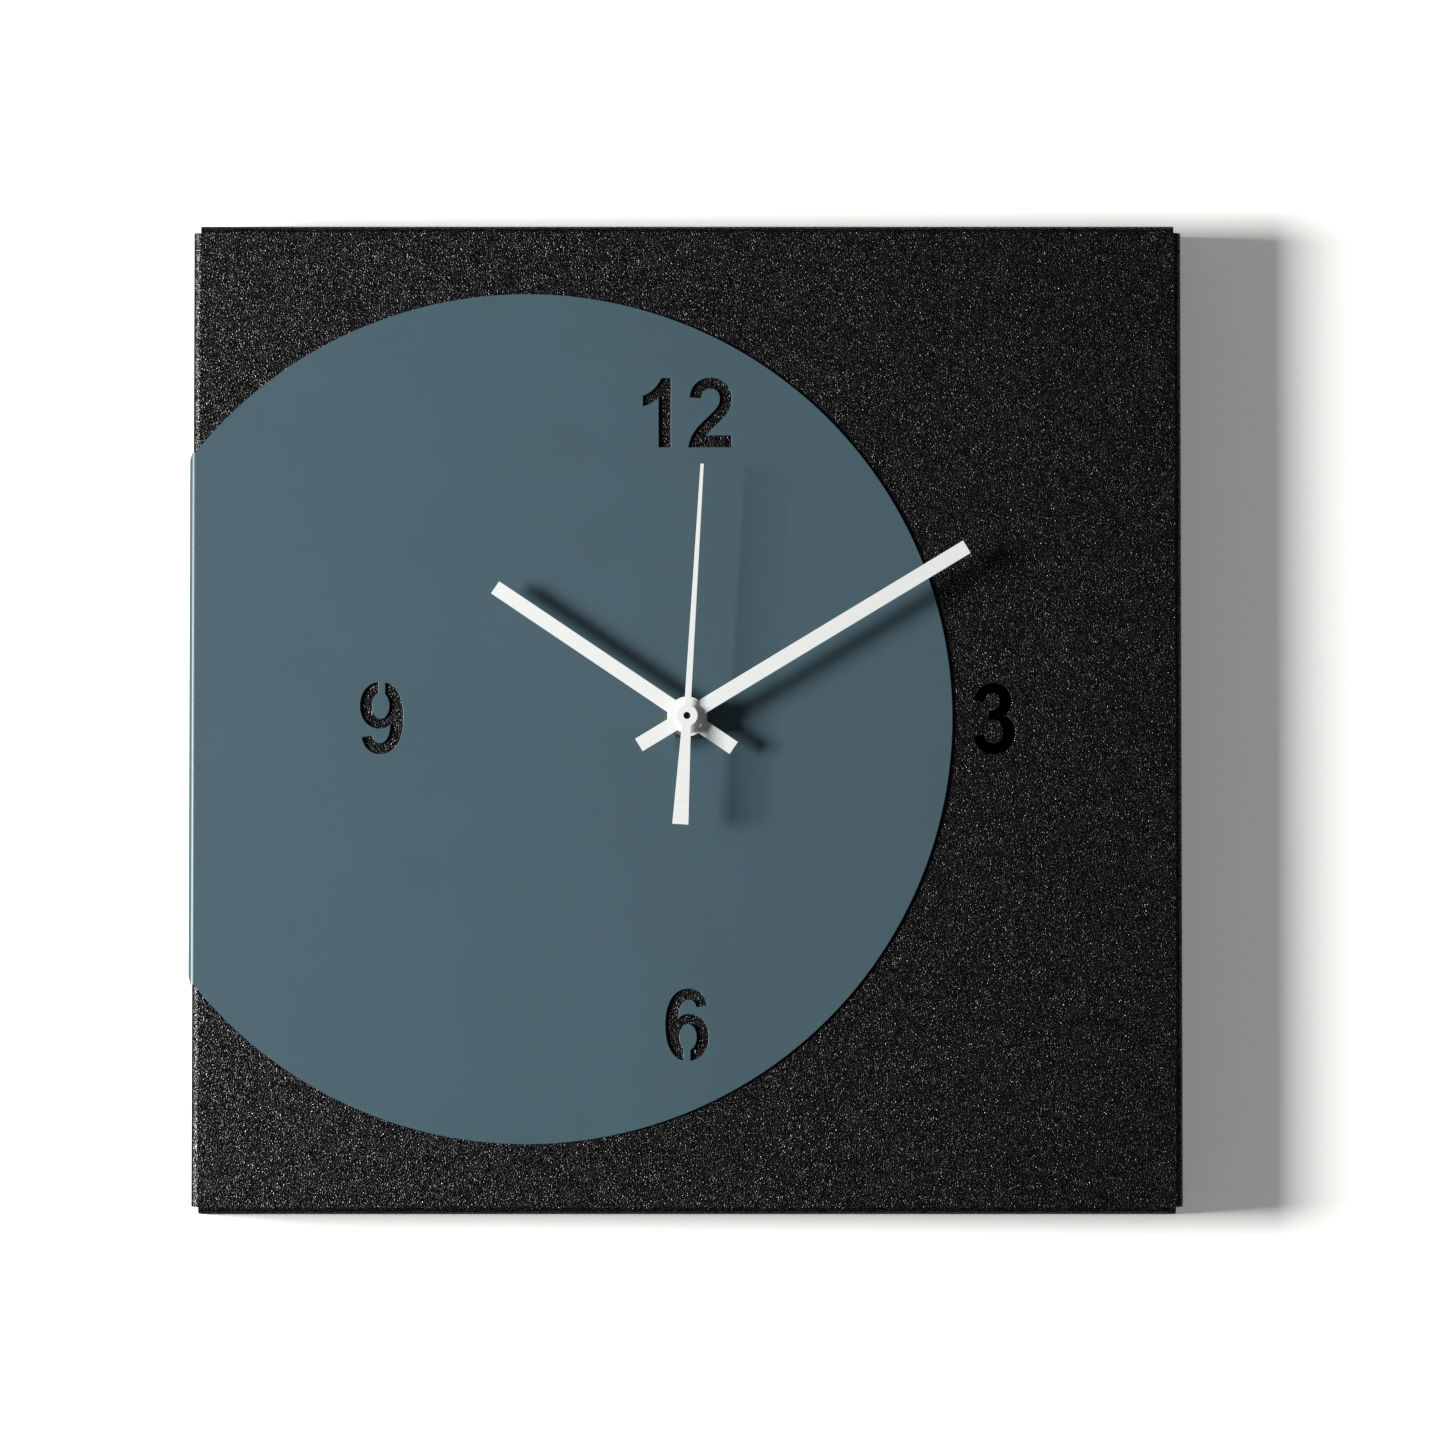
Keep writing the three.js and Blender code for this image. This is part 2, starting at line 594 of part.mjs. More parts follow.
function rearCover() {
  const back = atLevel(MOVEMENT_LENGTH + TOUCH + MOVEMENT_WALL);
  const front = atLevel(MOVEMENT_LENGTH + TOUCH);
  const half = MOVEMENT_HALF;
  const sheet = slab(roundedRectangle(half, half, 2.5), back, front, 4);
  const overBay = block(-half - 1, half + 1, -half - 1, ROOM_BOTTOM, back - 1, front + 1);
  const tabs = [-12, 4].map((x) => block(x - 3, x + 3, 25.5, 26.5, front - 0.5, atLevel(10)));
  return carve([sheet, ...tabs], [overBay, holeAt(setting, SETTING_SHAFT + RUNNING)]);
}

// Both bearing plates share one outline and the same pivot holes; the bridge stands on four legs.
function bearingPlate([front, back], holes) {
  const { left, right, bottom, top } = PLATE_LIMITS;
  const plate = block(left, right, bottom, top, atLevel(back), atLevel(front));
  return [plate, holes.map(([place, radius]) => holeAt(place, radius + RUNNING))];
}

function midPlate() {
  const [plate, holes] = bearingPlate(LEVELS.midPlate, [
    [centre, SECOND_ARBOR], [third, SECOND_ARBOR], [intermediate, PIVOT], [rotor, PIVOT],
    [motion, PIVOT], [setting, SETTING_SHAFT],
  ]);
  return carve([plate], holes);
}

function trainBridge() {
  const [plate, holes] = bearingPlate(LEVELS.bridge, [
    [centre, PIVOT], [third, PIVOT], [intermediate, PIVOT], [rotor, PIVOT], [setting, SETTING_SHAFT],
  ]);
  const legs = POSTS.map((place) => {
    return boss(place, POST_RADIUS, 0, LEVELS.midPlate[1] + TOUCH, LEVELS.bridge[0] + 0.2);
  });
  return carve([plate, ...legs], holes);
}

// ---------------------------------------------------------------- movement: wheels

const ADDENDUM = 0.72;
const DEDENDUM = 1.15;
const ROOT_SHARE = 0.27;
const TIP_SHARE = 0.11;

// A gear's outline with one tooth centred on `phase`, in radians.
function gearShape(teeth, module, phase) {
  const pitch = teeth * module / 2;
  const step = 2 * Math.PI / teeth;
  const corners = [
    [pitch - DEDENDUM * module, -ROOT_SHARE],
    [pitch + ADDENDUM * module, -TIP_SHARE],
    [pitch + ADDENDUM * module, TIP_SHARE],
    [pitch - DEDENDUM * module, ROOT_SHARE],
  ];
  const points = [];
  for (let tooth = 0; tooth < teeth; tooth += 1) {
    for (const [radius, share] of corners) {
      const angle = phase + (tooth + share) * step;
      points.push([radius * Math.cos(angle), radius * Math.sin(angle)]);
    }
  }
  return polygon(points);
}

function gear(name, module, phase, [front, back]) {
  return slab(gearShape(TEETH[name], module, phase), atLevel(back), atLevel(front));
}

// The phase that puts gear `second` in mesh with gear `first`, which lies at `degrees` from it back
// to front: a tooth of one stands in a gap of the other on the line between their centres.
function meshPhase(first, firstPhase, second, degrees) {
  const angle = THREE.MathUtils.degToRad(degrees);
  const pastTooth = (angle - firstPhase) * TEETH[first] / (2 * Math.PI);
  return angle + Math.PI - (0.5 - pastTooth) * 2 * Math.PI / TEETH[second];
}

function shaft(radius, front, back, segments = 10) {
  return rod(radius, atLevel(back), atLevel(front), segments);
}

const PIVOT_END = LEVELS.bridge[1] - 0.1;
const phases = {
  secondPinion: 0,
  secondWheel: 0,
  centreWheel: 0,
  cannonPinion: 0,
  intermediateWheel: 0,
  hourWheel: 0,
};
phases.thirdWheel = meshPhase("secondPinion", phases.secondPinion, "thirdWheel", DIRECTIONS.third);
phases.thirdPinion = meshPhase("centreWheel", phases.centreWheel, "thirdPinion", DIRECTIONS.third);
phases.intermediatePinion = meshPhase(
  "secondWheel", phases.secondWheel, "intermediatePinion", DIRECTIONS.intermediate,
);
phases.rotorPinion = meshPhase(
  "intermediateWheel", phases.intermediateWheel, "rotorPinion", DIRECTIONS.rotor,
);
phases.motionWheel = meshPhase("cannonPinion", phases.cannonPinion, "motionWheel", DIRECTIONS.motion);
phases.motionPinion = meshPhase("hourWheel", phases.hourWheel, "motionPinion", DIRECTIONS.motion);
phases.settingPinion = meshPhase("motionWheel", phases.motionWheel, "settingPinion", DIRECTIONS.setting);

function secondWheel() {
  const tip = MOVEMENT_FRONT - (PIPE_FRONT - 0.1);
  return carve([
    gear("secondWheel", MODULES.intermediate, phases.secondWheel, LEVELS.secondWheel),
    gear("secondPinion", MODULES.third, phases.secondPinion, [8.2, LEVELS.secondWheel[0] + 0.2]),
    shaft(SECOND_ARBOR, tip, LEVELS.secondWheel[1] + 1),
    shaft(PIVOT, 8, PIVOT_END),
  ]);
}

function thirdWheel() {
  return carve([
    gear("thirdWheel", MODULES.third, phases.thirdWheel, LEVELS.thirdWheel),
    gear("thirdPinion", MODULES.centre, phases.thirdPinion, [5.4, 6.6]),
    shaft(SECOND_ARBOR, 5.2, LEVELS.thirdWheel[1] + 1),
    shaft(PIVOT, 8, PIVOT_END),
  ]);
}

function intermediateWheel() {
  return carve([
    gear("intermediateWheel", MODULES.rotor, phases.intermediateWheel, LEVELS.intermediateWheel),
    gear("intermediatePinion", MODULES.intermediate, phases.intermediatePinion, [9.8, 12]),
    shaft(PIVOT, LEVELS.midPlate[0] + 0.1, PIVOT_END),
  ]);
}

const ROTOR_SHAFT = 0.4;
const MAGNET_RADIUS = 2.1;

function rotorPinion() {
  return carve([
    gear("rotorPinion", MODULES.rotor, phases.rotorPinion, [11.6, 13.0]),
    shaft(ROTOR_SHAFT, 8.0, 13.2),
    shaft(PIVOT, LEVELS.midPlate[0] + 0.1, PIVOT_END),
  ]);
}

function rotorMagnet() {
  return tube(ROTOR_SHAFT + RUNNING / 2, MAGNET_RADIUS, atLevel(9.8), atLevel(8.2), 20);
}

// The centre wheel, its cannon pinion and the tube that carries the minute hand.
function centreWheel() {
  const tip = MOVEMENT_FRONT - (PLATE_FRONT + MINUTE_HEIGHT + HAND_SHEET / 2 + 0.1);
  const joined = [
    gear("centreWheel", MODULES.centre, phases.centreWheel, LEVELS.centreWheel),
    gear("cannonPinion", MODULES.motion, phases.cannonPinion, [4.0, LEVELS.centreWheel[0] + 0.2]),
    shaft(MINUTE_TUBE, tip, 4.2, 20),
  ];
  return carve(joined, [rod(SECOND_ARBOR + 2 * RUNNING, 0, 2 * CASE_DEPTH, 16)]);
}

function hourWheel() {
  const tip = MOVEMENT_FRONT - (PLATE_FRONT + HOUR_HEIGHT + HAND_SHEET / 2 + 0.1);
  const joined = [
    gear("hourWheel", MODULES.motion, phases.hourWheel, LEVELS.hourWheel),
    shaft(HOUR_TUBE, tip, LEVELS.hourWheel[1] - 0.2, 24),
  ];
  return carve(joined, [rod(MINUTE_TUBE + 2 * RUNNING, 0, 2 * CASE_DEPTH, 20)]);
}

function motionWheel() {
  return carve([
    gear("motionWheel", MODULES.motion, phases.motionWheel, LEVELS.motionWheel),
    gear("motionPinion", MODULES.motion, phases.motionPinion, [2.4, 4.4]),
    shaft(PIVOT, 1.5, LEVELS.midPlate[1] - 0.1),
  ]);
}

const KNOB_FRONT = MOVEMENT_LENGTH + MOVEMENT_WALL + 0.7;
const KNOB_LENGTH = 3.4;

function settingShaft() {
  return carve([
    gear("settingPinion", MODULES.motion, phases.settingPinion, [4.0, 5.2]),
    shaft(SETTING_SHAFT, 1.6, KNOB_FRONT + KNOB_LENGTH - 0.8, 12),
  ]);
}

// A finger knob with shallow ribs round its rim and a blind hole for the shaft.
function settingKnob() {
  const [radius, ribs, depth] = [5.4, 18, 0.35];
  const points = [];
  for (let i = 0; i < ribs * 4; i += 1) {
    const angle = i / (ribs * 4) * 2 * Math.PI;
    const reach = i % 4 < 2 ? radius : radius - depth;
    points.push([reach * Math.cos(angle), reach * Math.sin(angle)]);
  }
  const grip = slab(polygon(points), atLevel(KNOB_FRONT + KNOB_LENGTH), atLevel(KNOB_FRONT));
  const bore = SETTING_SHAFT + RUNNING / 2;
  return carve([grip], [rod(bore, atLevel(KNOB_FRONT + KNOB_LENGTH - 0.7), atLevel(0), 12)]);
}

// ---------------------------------------------------------------- movement: electrics

const BOARD_LEVEL = 9.0;
const BOARD_SHEET = 0.8;
const BOARD = { left: -24, right: 6, bottom: 14, top: 24.5 };
const BOARD_POSTS = [[-20, 20], [2.5, 20]];
const CORE = { left: 8.2, right: 24, bottom: 4.5, top: 23, front: 8.6, back: 9.4 };

function motorStator() {
  const { left, right, bottom, top, front, back } = CORE;
  const sheet = block(left, right, bottom, top, atLevel(back), atLevel(front));
  const window = block(left + 2.2, right - 2.4, 12.5, top - 2.5, atLevel(back + 1), atLevel(front - 1));
  return carve([sheet], [window, holeAt(rotor, MAGNET_RADIUS + 0.5)]);
}

const COIL = { left: 11.2, right: 20.8, flange: 0.8, coreGap: 0.2, wall: 0.6 };
const COIL_MIDDLE = CORE.top - 1.25;
const COIL_LEVEL = (CORE.front + CORE.back) / 2;

// A rectangular sleeve round the coil's core, between two x limits.
function coilSleeve(left, right, inner, outer) {
  const ring = ([high, deep], from, to) => {
    return block(
      from, to, COIL_MIDDLE - high, COIL_MIDDLE + high,
      atLevel(COIL_LEVEL + deep), atLevel(COIL_LEVEL - deep),
    );
  };
  return carve([ring(outer, left, right)], [ring(inner, left - 1, right + 1)]);
}

const coreHole = [1.25 + COIL.coreGap, 0.4 + COIL.coreGap];
const spoolWall = coreHole.map((size) => size + COIL.wall);
const windingOuter = [4.1, 3.3];
const flangeOuter = [4.7, 3.9];

function coilBobbin() {
  const { left, right, flange } = COIL;
  return carve([
    coilSleeve(left, right, coreHole, spoolWall),
    coilSleeve(left, left + flange, coreHole, flangeOuter),
    coilSleeve(right - flange, right, coreHole, flangeOuter),
  ]);
}

function coilWinding() {
  const { left, right, flange } = COIL;
  const spool = spoolWall.map((size) => size + TOUCH);
  return coilSleeve(left + flange + TOUCH, right - flange - TOUCH, spool, windingOuter);
}

function circuitBoard() {
  const { left, right, bottom, top } = BOARD;
  return block(left, right, bottom, top, atLevel(BOARD_LEVEL + BOARD_SHEET), atLevel(BOARD_LEVEL));
}

const PART_LEVEL = BOARD_LEVEL + BOARD_SHEET + TOUCH;

// A drop of resin over the chip: flat against the board, domed behind.
function controllerChip() {
  const [radius, rise, steps] = [3, 1.3, 5];
  const profile = [];
  for (let i = 0; i <= steps; i += 1) {
    const angle = i / steps * Math.PI / 2;
    profile.push([radius * Math.sin(angle), atLevel(PART_LEVEL + rise * Math.cos(angle))]);
  }
  profile.push([0, atLevel(PART_LEVEL)]);
  return turned(profile, 20);
}

function quartzCrystal() {
  const can = new THREE.CylinderGeometry(1, 1, 6, 12).rotateZ(Math.PI / 2);
  return can.translate(0, -atLevel(PART_LEVEL + 1), 0);
}

// ---------------------------------------------------------------- battery

const CELL_RADIUS = 6.95;
const CELL_BODY = 49;
const CELL_LENGTH = 50.2;
const BAY_MIDDLE = (BAY_TOP - MOVEMENT_INSIDE) / 2;
const CELL_LEVEL = MOVEMENT_WALL + 0.3 + 7.1;

// A turned piece about the cell's own axis, which runs across the bay: [radius, x].
function alongCell(profile, segments = 24) {
  const points = profile.map(([radius, x]) => new THREE.Vector2(radius, x));
  const geometry = new THREE.LatheGeometry(points, segments).rotateZ(-Math.PI / 2);
  return geometry.translate(0, -atLevel(CELL_LEVEL), BAY_MIDDLE);
}

function batteryCell() {
  const half = CELL_BODY / 2;
  const nub = 2.7;
  return alongCell([
    [0, -half],
    [CELL_RADIUS - 0.6, -half],
    [CELL_RADIUS, -half + 0.6],
    [CELL_RADIUS, half - 0.6],
    [CELL_RADIUS - 0.6, half],
    [nub, half],
    [nub, CELL_LENGTH - half],
    [0, CELL_LENGTH - half],
  ]);
}

function batterySleeve() {
  const half = CELL_BODY / 2 - 1;
  const inner = CELL_RADIUS + 0.05;
  const outer = inner + 0.12;
  return alongCell([[inner, -half], [outer, -half], [outer, half], [inner, half], [inner, -half]]);
}

const CONTACT_SHEET = 0.3;
const CONTACT_OUTSIDE = MOVEMENT_INSIDE - TOUCH;

// The flat contact at the positive end, with an arm that runs up the housing wall to the board.
function positiveContact() {
  const outside = CONTACT_OUTSIDE;
  const inside = outside - CONTACT_SHEET;
  const arm = [PART_LEVEL, PART_LEVEL + 2];
  return carve([
    block(inside, outside, -25, -14, atLevel(13), atLevel(4)),
    block(inside, outside, -15, 19, atLevel(arm[1]), atLevel(arm[0])),
  ]);
}

class ConicalSpring extends THREE.Curve {
  getPoint(t) {
    const angle = 2.5 * 2 * Math.PI * t;
    const radius = 4 - 2.2 * t;
    return new THREE.Vector3(1.5 * t, radius * Math.cos(angle), radius * Math.sin(angle));
  }
}

// The sprung contact at the negative end: a flat foot with a conical coil on it.
function negativeContact() {
  const outside = -CONTACT_OUTSIDE;
  const wire = 0.25;
  const section = new THREE.Shape();
  section.absarc(0, 0, wire, 0, 2 * Math.PI);
  const options = { steps: 36, bevelEnabled: false, curveSegments: 3, extrudePath: new ConicalSpring() };
  const coil = new THREE.ExtrudeGeometry(section, options);
  coil.translate(outside + CONTACT_SHEET, -atLevel(CELL_LEVEL), BAY_MIDDLE);
  return carve([
    block(outside, outside + CONTACT_SHEET, -25, -14, atLevel(13), atLevel(4)),
    block(outside, outside + CONTACT_SHEET, -15, 19, atLevel(PART_LEVEL + 2), atLevel(PART_LEVEL)),
    coil,
  ]);
}

add("front_housing", frontHousing(), "blackPlastic");
add("rear_cover", rearCover(), "blackPlastic");
add("mid_plate", midPlate(), "naturalPlastic");
add("train_bridge", trainBridge(), "naturalPlastic");
add("second_wheel", secondWheel(), "whitePlastic", centre);
add("third_wheel", thirdWheel(), "whitePlastic", third);
add("intermediate_wheel", intermediateWheel(), "whitePlastic", intermediate);
add("rotor_pinion", rotorPinion(), "whitePlastic", rotor);
add("rotor_magnet", rotorMagnet(), "magnet", rotor);
add("centre_wheel", centreWheel(), "whitePlastic", centre);
add("hour_wheel", hourWheel(), "whitePlastic", centre);
add("motion_wheel", motionWheel(), "whitePlastic", motion);
add("setting_shaft", settingShaft(), "whitePlastic", setting);
add("setting_knob", settingKnob(), "whitePlastic", setting);
add("motor_stator", motorStator(), "zincSteel");
add("coil_bobbin", coilBobbin(), "naturalPlastic");
add("coil_winding", coilWinding(), "copper");
add("circuit_board", circuitBoard(), "boardGreen");
add("controller_chip", controllerChip(), "blackPlastic", [-4, 19]);
add("quartz_crystal", quartzCrystal(), "zincSteel", [-14, 21]);
add("battery_cell", batteryCell(), "zincSteel");
add("battery_sleeve", batterySleeve(), "sleeve");
add("positive_contact", positiveContact(), "zincSteel");
add("negative_contact", negativeContact(), "zincSteel");

export default clock;
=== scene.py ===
"""The looks of a square wall clock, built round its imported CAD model.

Lengths are in metres in the frame of the CAD model: the origin is the wall screw, +Z is up, +X is to the
viewer's right and -Y faces the viewer, so the wall is the plane y = 0. MM turns millimetres into metres.
"""

import json
import math

import bmesh
import bpy
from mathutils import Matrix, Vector


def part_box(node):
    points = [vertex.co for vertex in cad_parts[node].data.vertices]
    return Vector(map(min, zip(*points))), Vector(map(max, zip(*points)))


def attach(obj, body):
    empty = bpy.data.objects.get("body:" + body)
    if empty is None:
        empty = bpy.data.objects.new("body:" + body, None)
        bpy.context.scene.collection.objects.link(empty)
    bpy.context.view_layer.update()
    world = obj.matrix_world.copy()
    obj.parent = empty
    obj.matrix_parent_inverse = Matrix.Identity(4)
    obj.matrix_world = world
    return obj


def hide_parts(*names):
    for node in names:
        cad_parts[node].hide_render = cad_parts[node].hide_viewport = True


MM = 0.001

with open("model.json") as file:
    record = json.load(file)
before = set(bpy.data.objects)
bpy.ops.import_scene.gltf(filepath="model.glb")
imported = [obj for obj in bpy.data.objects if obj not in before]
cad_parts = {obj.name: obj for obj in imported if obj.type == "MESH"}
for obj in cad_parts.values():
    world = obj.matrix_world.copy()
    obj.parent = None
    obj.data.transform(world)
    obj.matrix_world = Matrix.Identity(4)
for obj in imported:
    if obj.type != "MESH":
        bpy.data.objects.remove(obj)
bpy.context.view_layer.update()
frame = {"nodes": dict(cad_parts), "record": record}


# ---------------------------------------------------------------- places that come from the frame

def middle(node):
    low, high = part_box(node)
    return (low + high) / 2


CASE_LOW, CASE_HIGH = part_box("case_shell")
CASE_MIDDLE = middle("case_shell")
CASE_FRONT = CASE_LOW.y
HUB = middle("threaded_bushing")


# ---------------------------------------------------------------- materials

# Blender's noise seldom strays outside this range.
NOISE_LOW = 0.35
NOISE_HIGH = 0.65

# Numbers of the colour sockets on Blender's Mix node, whose names repeat.
FIRST_COLOUR = 6
SECOND_COLOUR = 7
MIXED_COLOUR = 2

# The scale at which a wave texture makes one ridge in each metre.
ONE_RIDGE = math.pi / 10


class Surface:
    """A procedural material: one Principled shader and the texture nodes that feed it."""

    def __init__(self, name, colour, roughness, metallic=0.0, specular=0.5):
        self.material = bpy.data.materials.new(name)
        self.material.use_nodes = True
        self.tree = self.material.node_tree
        self.shader = self.tree.nodes["Principled BSDF"]
        self.place = self.add("ShaderNodeTexCoord").outputs["Object"]
        self.colour = colour
        self.roughness = roughness
        self.shader.inputs["Metallic"].default_value = metallic
        self.shader.inputs["Specular IOR Level"].default_value = specular

    def add(self, kind, inputs=None, **settings):
        node = self.tree.nodes.new(kind)
        for setting, value in settings.items():
            setattr(node, setting, value)
        for socket, value in (inputs or {}).items():
            if isinstance(value, bpy.types.NodeSocket):
                self.tree.links.new(value, node.inputs[socket])
            else:
                node.inputs[socket].default_value = value
        return node

    def stretched(self, scale):
        """Object coordinates with each axis scaled, for grain that runs along one of them."""
        return self.add("ShaderNodeMapping", {"Vector": self.place, "Scale": scale}).outputs["Vector"]

    def noise(self, size, detail=2.0, place=None):
        """Cloudy noise whose features are about `size` across."""
        inputs = {"Vector": place or self.place, "Scale": 1 / size, "Detail": detail}
        return self.add("ShaderNodeTexNoise", inputs).outputs["Fac"]

    def ridges(self, pitch, direction, **inputs):
        """Ridges across one axis, `pitch` apart."""
        inputs = {"Vector": self.place, "Scale": ONE_RIDGE / pitch, **inputs}
        return self.add("ShaderNodeTexWave", inputs, bands_direction=direction).outputs["Fac"]

    def span(self, value, low=NOISE_LOW, high=NOISE_HIGH, to_low=0.0, to_high=1.0):
        """`value` between low and high, as a number between to_low and to_high."""
        inputs = {0: value, 1: low, 2: high, 3: to_low, 4: to_high}
        return self.add("ShaderNodeMapRange", inputs).outputs[0]

    def blend(self, factor, first, second):
        """A colour that runs from `first` to `second` as `factor` goes from 0 to 1."""
        node = self.add("ShaderNodeMix", data_type="RGBA")
        self.tree.links.new(factor, node.inputs["Factor"])
        node.inputs[FIRST_COLOUR].default_value = (*first, 1.0)
        node.inputs[SECOND_COLOUR].default_value = (*second, 1.0)
        return node.outputs[MIXED_COLOUR]

    def colour_by(self, factor, dark, light):
        """Drives the base colour between a darker and a lighter tone of this material."""
        tones = [tuple(channel * tone for channel in self.colour) for tone in (dark, light)]
        self.tree.links.new(self.blend(factor, *tones), self.shader.inputs["Base Color"])
        return self

    def roughness_by(self, factor, change=0.08):
        """Spreads the roughness by `change` either way as `factor` goes from 0.3 to 0.7."""
        value = self.span(factor, 0.3, 0.7, self.roughness - change, self.roughness + change)
        self.tree.links.new(value, self.shader.inputs["Roughness"])
        return self

    def specular_by(self, factor, dull, bright):
        """Runs the strength of reflection from `dull` to `bright` as `factor` goes from 0 to 1."""
        value = self.span(factor, 0.0, 1.0, dull, bright)
        self.tree.links.new(value, self.shader.inputs["Specular IOR Level"])
        return self

    def bump_by(self, height, depth):
        """Raises the surface by up to `depth` where `height` is 1."""
        bump = self.add("ShaderNodeBump", {"Height": height, "Distance": depth, "Strength": 1.0})
        self.tree.links.new(bump.outputs["Normal"], self.shader.inputs["Normal"])
        return self


def black_paint():
    """Powder coat with a fine sandy texture, whose grains glint unevenly."""
    grain_size = 0.45 * MM
    grain_height = 0.24 * MM
    glint_size = 0.38 * MM
    surface = Surface("black_textured_paint", (0.0012, 0.0011, 0.0013), 0.33)
    grain = surface.noise(grain_size, detail=0.0)
    glint = surface.span(surface.noise(glint_size, detail=0.0), 0.42, 0.68)
    return (
        surface.colour_by(surface.span(grain), 0.1, 2.0)
        .roughness_by(surface.noise(2.6 * MM), 0.04)
        .specular_by(glint, 0.0, 1.55)
        .bump_by(grain, grain_height)
        .material
    )


def blue_paint():
    """Smooth satin powder coat: a faint orange peel and a very slight cloudiness."""
    surface = Surface("blue_satin_paint", (0.066, 0.116, 0.142), 0.35)
    cloud = surface.noise(38 * MM, detail=3.0)
    return (
        surface.colour_by(surface.span(cloud), 0.985, 1.015)
        .roughness_by(surface.noise(6 * MM), 0.012)
        .bump_by(surface.noise(2.2 * MM, detail=1.0), 0.004 * MM)
        .material
    )


def white_paint():
    surface = Surface("white_satin_paint", (0.84, 0.86, 0.84), 0.45)
    fine = surface.noise(0.7 * MM, detail=2.0)
    return (
        surface.colour_by(surface.span(fine), 0.97, 1.02)
        .roughness_by(surface.noise(3 * MM), 0.05)
        .bump_by(fine, 0.012 * MM)
        .material
    )


def zinc_steel():
    surface = Surface("zinc_plated_steel", (0.42, 0.43, 0.43), 0.36, metallic=1.0)
    rolled = surface.noise(1, detail=4.0, place=surface.stretched((90, 900, 2600)))
    return (
        surface.colour_by(surface.span(surface.noise(7 * MM)), 0.85, 1.1)
        .roughness_by(rolled, 0.1)
        .bump_by(rolled, 0.01 * MM)
        .material
    )


def brass():
    surface = Surface("machined_brass", (0.27, 0.22, 0.14), 0.42, metallic=1.0)
    turned_marks = surface.noise(1, detail=3.0, place=surface.stretched((400, 5000, 400)))
    return (
        surface.colour_by(surface.span(surface.noise(2 * MM)), 0.85, 1.08)
        .roughness_by(turned_marks, 0.08)
        .bump_by(turned_marks, 0.008 * MM)
        .material
    )


def threaded_brass(pitch):
    """Brass with a rolled thread: ridges round the Y axis, one for each pitch."""
    surface = Surface("threaded_brass", (0.27, 0.22, 0.14), 0.42, metallic=1.0)
    ridges = surface.ridges(pitch, "Y")
    depth = 0.35 * pitch
    # The base colour is painted shade in the thread's roots, half as bright there, and a little painted light
    # on its crests.
    return surface.colour_by(ridges, 0.5, 1.1).roughness_by(ridges, 0.05).bump_by(ridges, depth).material


# Near-black steel that is painted shade: it darkens the pipe and arbor ends seen in the second hand's hole.
# Its mottle is random tone.
def hole_shade_black():
    surface = Surface("hole_shade_black", (0.006, 0.006, 0.007), 0.55, specular=0.3)
    mottle = surface.noise(0.4 * MM)
    return surface.colour_by(mottle, 0.7, 1.3).roughness_by(mottle).bump_by(mottle, 0.004 * MM).material


def moulded(name, colour, roughness, texture=0.25 * MM, depth=0.015 * MM):
    """A moulded plastic or rubber with a fine spark-eroded skin."""
    surface = Surface(name, colour, roughness)
    skin = surface.noise(texture, detail=2.0)
    return (
        surface.colour_by(surface.span(surface.noise(9 * MM)), 0.93, 1.07)
        .roughness_by(surface.noise(3 * MM), 0.05)
        .bump_by(skin, depth)
        .material
    )


def copper_wire():
    """Enamelled wire wound in close turns across the coil."""
    surface = Surface("enamelled_wire", (0.46, 0.13, 0.05), 0.3, metallic=0.9)
    turns = surface.ridges(0.126 * MM, "X", Distortion=0.6, Detail=1.0)
    # The base colour is painted shade in the valleys between turns and a little lighter on their tops.
    return surface.colour_by(turns, 0.6, 1.1).roughness_by(turns, 0.05).bump_by(turns, 0.05 * MM).material


def magnet_ferrite():
    surface = Surface("sintered_magnet", (0.07, 0.07, 0.075), 0.5, metallic=0.5)
    grain = surface.noise(0.3 * MM, detail=3.0)
    return (
        surface.colour_by(surface.span(grain), 0.8, 1.2)
        .roughness_by(grain)
        .bump_by(grain, 0.01 * MM)
        .material
    )


MATERIALS = {
    "black_paint": black_paint(),
    "blue_paint": blue_paint(),
    "white_paint": white_paint(),
    "zinc_steel": zinc_steel(),
    "brass": brass(),
    "rubber": moulded("black_rubber", (0.012, 0.012, 0.013), 0.75),
    "black_plastic": moulded("black_plastic", (0.014, 0.014, 0.016), 0.5),
    "natural_plastic": moulded("natural_plastic", (0.62, 0.58, 0.48), 0.45, texture=0.6 * MM),
    "white_plastic": moulded("white_plastic", (0.52, 0.51, 0.47), 0.4, texture=0.6 * MM),
    "magnet": magnet_ferrite(),
    "copper": copper_wire(),
    "board_green": moulded("board_green", (0.03, 0.11, 0.045), 0.35, texture=1.2 * MM),
    "sleeve": moulded("cell_sleeve", (0.11, 0.15, 0.17), 0.25, texture=2 * MM, depth=0.005 * MM),
}

# The painted shade for the second hand's hole.
HOLE_SHADE_BLACK = hole_shade_black()
SLOTS = {part["node"]: part["material_slot"] for part in frame["record"]["subparts"]}


# ---------------------------------------------------------------- pieces made from the CAD solids

FLAT_WITHIN = math.radians(0.4)
SHARP_BEYOND = math.radians(32)
ROUNDING_STEPS = 3
FINE_WELD = 0.001 * MM

# Blender narrows all of a piece's rounding to suit its shortest edge. The plate's very short edges are closed
# up instead, and its rounding is left at full width.
WELDS = {"dial_plate": 0.1 * MM}


def body_of(node):
    bodies = frame["record"]["behaviour"]["bodies"]
    return next(body for body, members in bodies.items() if node in members)


def joined_faces(node, weld):
    """The CAD node's solid: corners closer than `weld` made one, triangles joined into whole flat faces."""
    solid = bmesh.new()
    solid.from_mesh(frame["nodes"][node].data)
    bmesh.ops.remove_doubles(solid, verts=solid.verts, dist=weld)
    bmesh.ops.dissolve_limit(solid, angle_limit=FLAT_WITHIN, verts=solid.verts, edges=solid.edges)
    return solid


